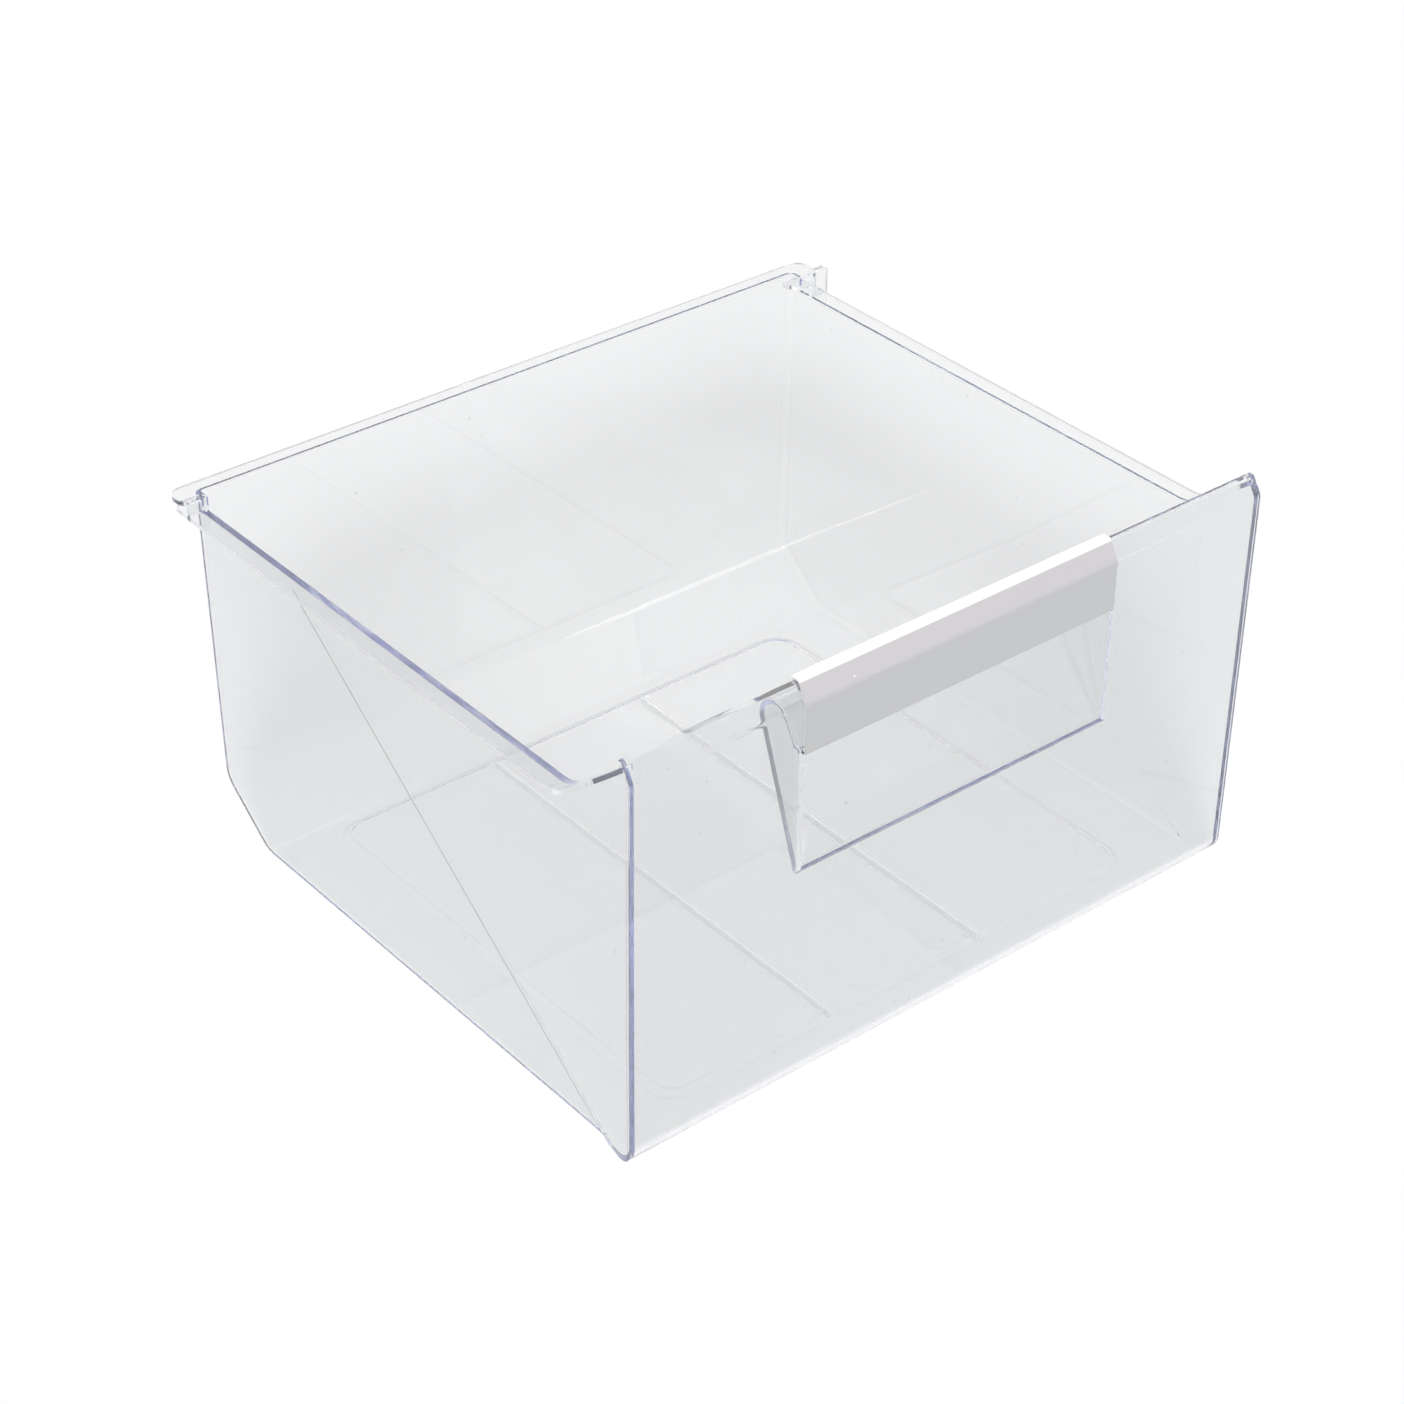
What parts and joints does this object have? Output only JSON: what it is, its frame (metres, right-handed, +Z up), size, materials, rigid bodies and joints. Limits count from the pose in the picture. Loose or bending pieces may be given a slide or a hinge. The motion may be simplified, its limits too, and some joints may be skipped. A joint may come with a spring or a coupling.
{
  "type": "freezer drawer",
  "caption": "Clear moulded freezer drawer with a tall front panel, a finger pocket under a silver grip strip, rimmed sides and a sloped rear foot.",
  "frame": {"origin": "middle of the footprint, on the surface that the runner ribs stand on", "axes": "+X across the drawer, to the right seen from its front; +Y from the front panel to the rear; +Z up"},
  "size_m": [0.422, 0.3632, 0.2368],
  "materials": {
    "clear_plastic": "clear, polished",
    "silver_trim": "satin silver"
  },
  "bodies": {
    "root": {"drawer_body": "clear_plastic", "handle_trim": "silver_trim"}
  },
  "joints": []
}
